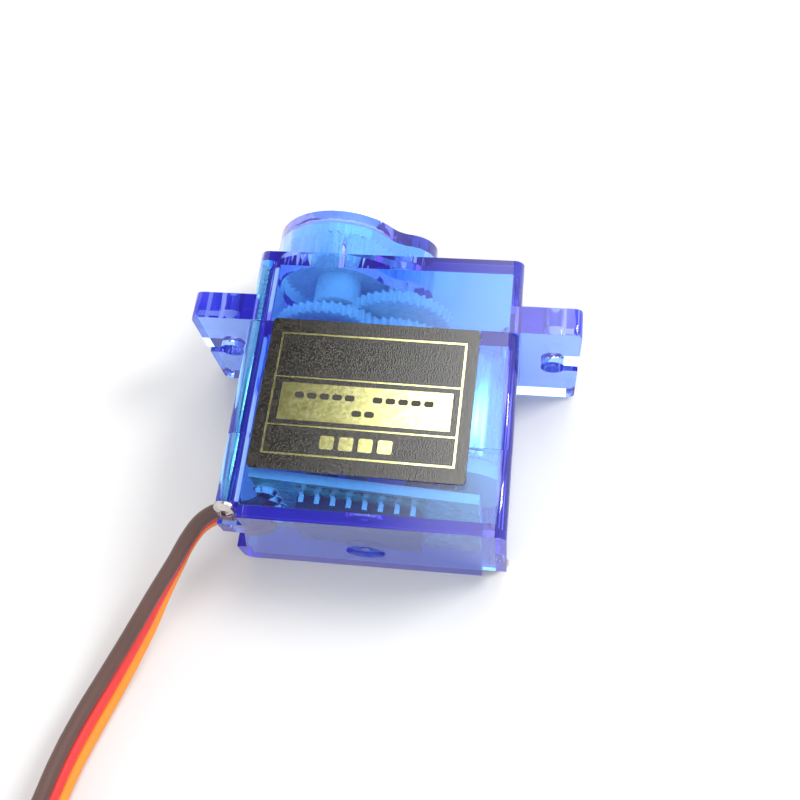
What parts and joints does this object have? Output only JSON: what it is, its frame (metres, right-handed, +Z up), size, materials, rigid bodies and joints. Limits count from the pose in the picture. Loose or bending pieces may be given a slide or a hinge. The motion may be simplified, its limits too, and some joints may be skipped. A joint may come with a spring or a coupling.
{
  "type": "hobby servo motor",
  "caption": "Micro hobby servo in a clear blue case with ear mounts, geared splined output, position potentiometer, control board and a three-wire lead with connector.",
  "frame": {"origin": "bottom centre of the servo's box as it lies on its plain wide side, without its lead", "axes": "+X along the case from the output end to the motor end, +Y along the output shaft and out of the spline, +Z up through the label"},
  "size_m": [0.0461, 0.089, 0.0119],
  "materials": {
    "clear_blue_plastic": "clear tinted polycarbonate, polished",
    "screw_steel": "nickel-plated steel",
    "shaft_steel": "ground steel",
    "label_film": "printed metallised sticker, black with gold grain",
    "motor_steel": "drawn and zinc-plated",
    "motor_cap_plastic": "moulded",
    "bearing_bronze": "sintered bronze",
    "magnet_ferrite": "ferrite",
    "brush_copper": "rolled strip",
    "pot_phenolic": "moulded phenolic",
    "carbon_track": "carbon film",
    "tinned_metal": "tinned",
    "board_green": "solder-masked fibreglass",
    "chip_black": "moulded epoxy",
    "capacitor_tan": "ceramic",
    "resistor_black": "glazed",
    "brown_insulation": "soft vinyl",
    "red_insulation": "soft vinyl",
    "orange_insulation": "soft vinyl",
    "coil_of_lead": "soft vinyl, three wires wound together",
    "black_insulation": "soft vinyl",
    "yellow_insulation": "soft vinyl",
    "motor_laminations": "stacked steel sheet",
    "copper_winding": "enamelled wire",
    "pinion_brass": "turned",
    "gear_nylon": "moulded nylon",
    "tie_plastic": "soft vinyl strip",
    "connector_plastic": "moulded",
    "contact_gold": "gold flashed"
  },
  "bodies": {
    "case": {"upper_case": "clear_blue_plastic", "middle_case": "clear_blue_plastic", "bottom_cover": "clear_blue_plastic", "case_screws": "screw_steel", "label": "label_film", "gear_pin": "shaft_steel", "motor_can": "motor_steel", "motor_end_cap": "motor_cap_plastic", "motor_bearing_front": "bearing_bronze", "motor_bearing_rear": "bearing_bronze", "motor_magnets": "magnet_ferrite", "motor_brushes": "brush_copper", "motor_terminals": "brush_copper", "pot_body": "pot_phenolic", "pot_track": "carbon_track", "pot_terminals": "tinned_metal", "circuit_board": "board_green", "control_chip": "chip_black", "chip_legs": "tinned_metal", "chip_capacitors": "capacitor_tan", "chip_resistors": "resistor_black", "solder_joints": "tinned_metal", "motor_wire_red": "red_insulation", "motor_wire_black": "black_insulation", "pot_wires": "yellow_insulation", "lead_tail_brown": "brown_insulation", "lead_tail_red": "red_insulation", "lead_tail_orange": "orange_insulation", "lead_wire_brown": "brown_insulation", "lead_wire_red": "red_insulation", "lead_wire_orange": "orange_insulation", "lead_coil": "coil_of_lead", "coil_tie": "tie_plastic", "connector_housing": "connector_plastic", "connector_contacts": "contact_gold"},
    "rotor": {"rotor_shaft": "shaft_steel", "motor_pinion": "pinion_brass", "rotor_core": "motor_laminations", "rotor_windings": "copper_winding", "commutator": "brush_copper"},
    "first_gear": {"first_gear": "gear_nylon"},
    "second_gear": {"second_gear": "gear_nylon"},
    "third_gear": {"third_gear": "gear_nylon"},
    "output": {"output_gear": "gear_nylon", "pot_shaft": "gear_nylon", "pot_wiper": "pinion_brass"}
  },
  "joints": [
    {"name": "rotor_spin", "type": "hinge", "parent": "case", "child": "rotor", "pos_m": [0.00635, 0, 0.0059], "axis": [0, 1, 0], "range_deg": [-16955, 16955]},
    {"name": "first_gear_spin", "type": "hinge", "parent": "case", "child": "first_gear", "pos_m": [0.00063, 0, 0.0059], "axis": [0, 1, 0], "range_deg": [-4037, 4037]},
    {"name": "second_gear_spin", "type": "hinge", "parent": "case", "child": "second_gear", "pos_m": [-0.0052, 0, 0.0059], "axis": [0, 1, 0], "range_deg": [-1058, 1058]},
    {"name": "third_gear_spin", "type": "hinge", "parent": "case", "child": "third_gear", "pos_m": [0.00063, 0, 0.0059], "axis": [0, 1, 0], "range_deg": [-344, 344]},
    {"name": "output_turn", "type": "hinge", "parent": "case", "child": "output", "pos_m": [-0.0052, 0, 0.0059], "axis": [0, 1, 0], "range_deg": [-90, 90]}
  ],
  "couplings": [
    {"joint": "first_gear_spin", "follows": "rotor_spin", "ratio": -0.2381},
    {"joint": "second_gear_spin", "follows": "rotor_spin", "ratio": 0.062358},
    {"joint": "third_gear_spin", "follows": "rotor_spin", "ratio": -0.020266},
    {"joint": "output_turn", "follows": "rotor_spin", "ratio": 0.0053079}
  ]
}
